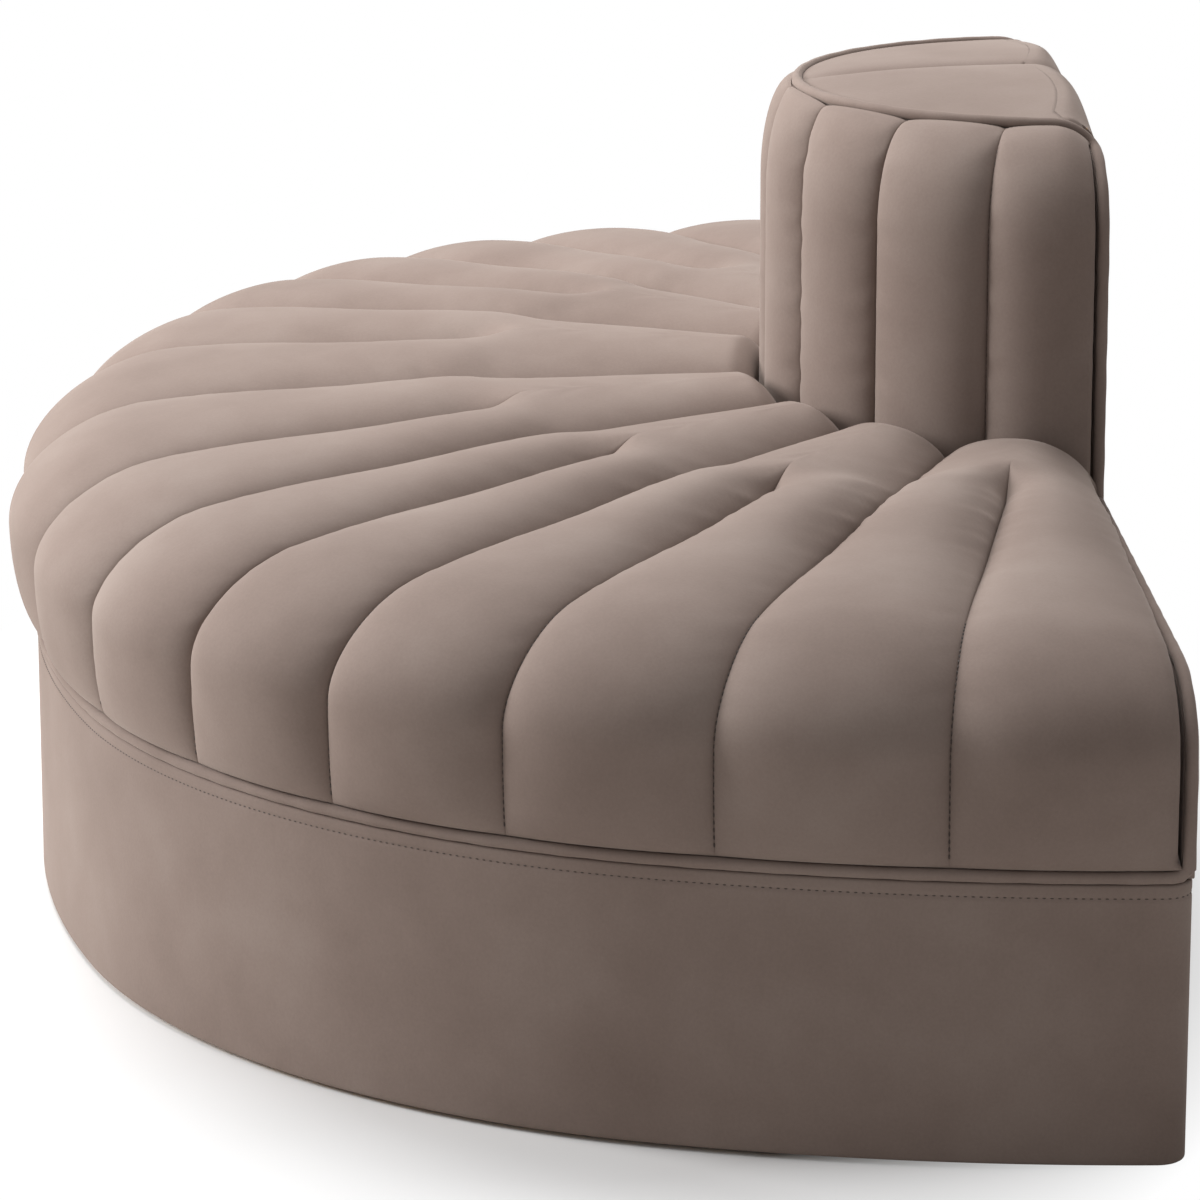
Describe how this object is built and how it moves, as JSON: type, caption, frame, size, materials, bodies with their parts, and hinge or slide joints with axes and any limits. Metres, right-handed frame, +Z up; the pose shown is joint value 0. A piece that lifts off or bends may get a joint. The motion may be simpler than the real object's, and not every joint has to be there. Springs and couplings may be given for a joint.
{
  "type": "half-round channelled modular sofa",
  "caption": "Half-round velvet sofa with a fan of channelled seat padding, a half-round backrest at the centre of its flat back and a plinth base, in mirrored quarter modules.",
  "frame": {"origin": "centre of the footprint, on the floor", "axes": "+X along the width towards the right module, +Y towards the flat back, +Z up"},
  "size_m": [2.0846, 1.0386, 0.7951],
  "materials": {
    "velvet": "short-pile taupe velvet",
    "dust_cloth": "black non-woven cloth",
    "plywood": "raw birch plywood",
    "glide_plastic": "matte black",
    "zinc_steel": "zinc plated"
  },
  "bodies": {
    "left_module": {"left_backrest_back_pad": "velvet", "left_backrest_back_panel": "plywood", "left_backrest_bolts": "zinc_steel", "left_backrest_bottom_board": "plywood", "left_backrest_cushion": "velvet", "left_backrest_rear_welt": "velvet", "left_backrest_side_panel": "plywood", "left_backrest_top_board": "plywood", "left_backrest_top_pad": "velvet", "left_backrest_top_welt": "velvet", "left_backrest_wall": "plywood", "left_base_back_panel": "plywood", "left_base_bottom_rail": "plywood", "left_base_cover": "velvet", "left_base_deck": "plywood", "left_base_front_wall": "plywood", "left_base_ribs": "plywood", "left_base_side_panel": "plywood", "left_connector_pins": "zinc_steel", "left_dust_cover": "dust_cloth", "left_floor_glides": "glide_plastic", "left_seat_back_pad": "velvet", "left_seat_cushion": "velvet", "left_seat_rear_welt": "velvet", "left_seat_welt": "velvet"},
    "right_module": {"right_backrest_back_pad": "velvet", "right_backrest_back_panel": "plywood", "right_backrest_bolts": "zinc_steel", "right_backrest_bottom_board": "plywood", "right_backrest_cushion": "velvet", "right_backrest_rear_welt": "velvet", "right_backrest_side_panel": "plywood", "right_backrest_top_board": "plywood", "right_backrest_top_pad": "velvet", "right_backrest_top_welt": "velvet", "right_backrest_wall": "plywood", "right_base_back_panel": "plywood", "right_base_bottom_rail": "plywood", "right_base_cover": "velvet", "right_base_deck": "plywood", "right_base_front_wall": "plywood", "right_base_ribs": "plywood", "right_base_side_panel": "plywood", "right_connector_sockets": "zinc_steel", "right_dust_cover": "dust_cloth", "right_floor_glides": "glide_plastic", "right_seat_back_pad": "velvet", "right_seat_cushion": "velvet", "right_seat_rear_welt": "velvet", "right_seat_welt": "velvet"}
  },
  "joints": [
    {"name": "module_apart", "type": "slide", "parent": "left_module", "child": "right_module", "axis": [1, 0, 0], "range_m": [0, 0.3]}
  ]
}
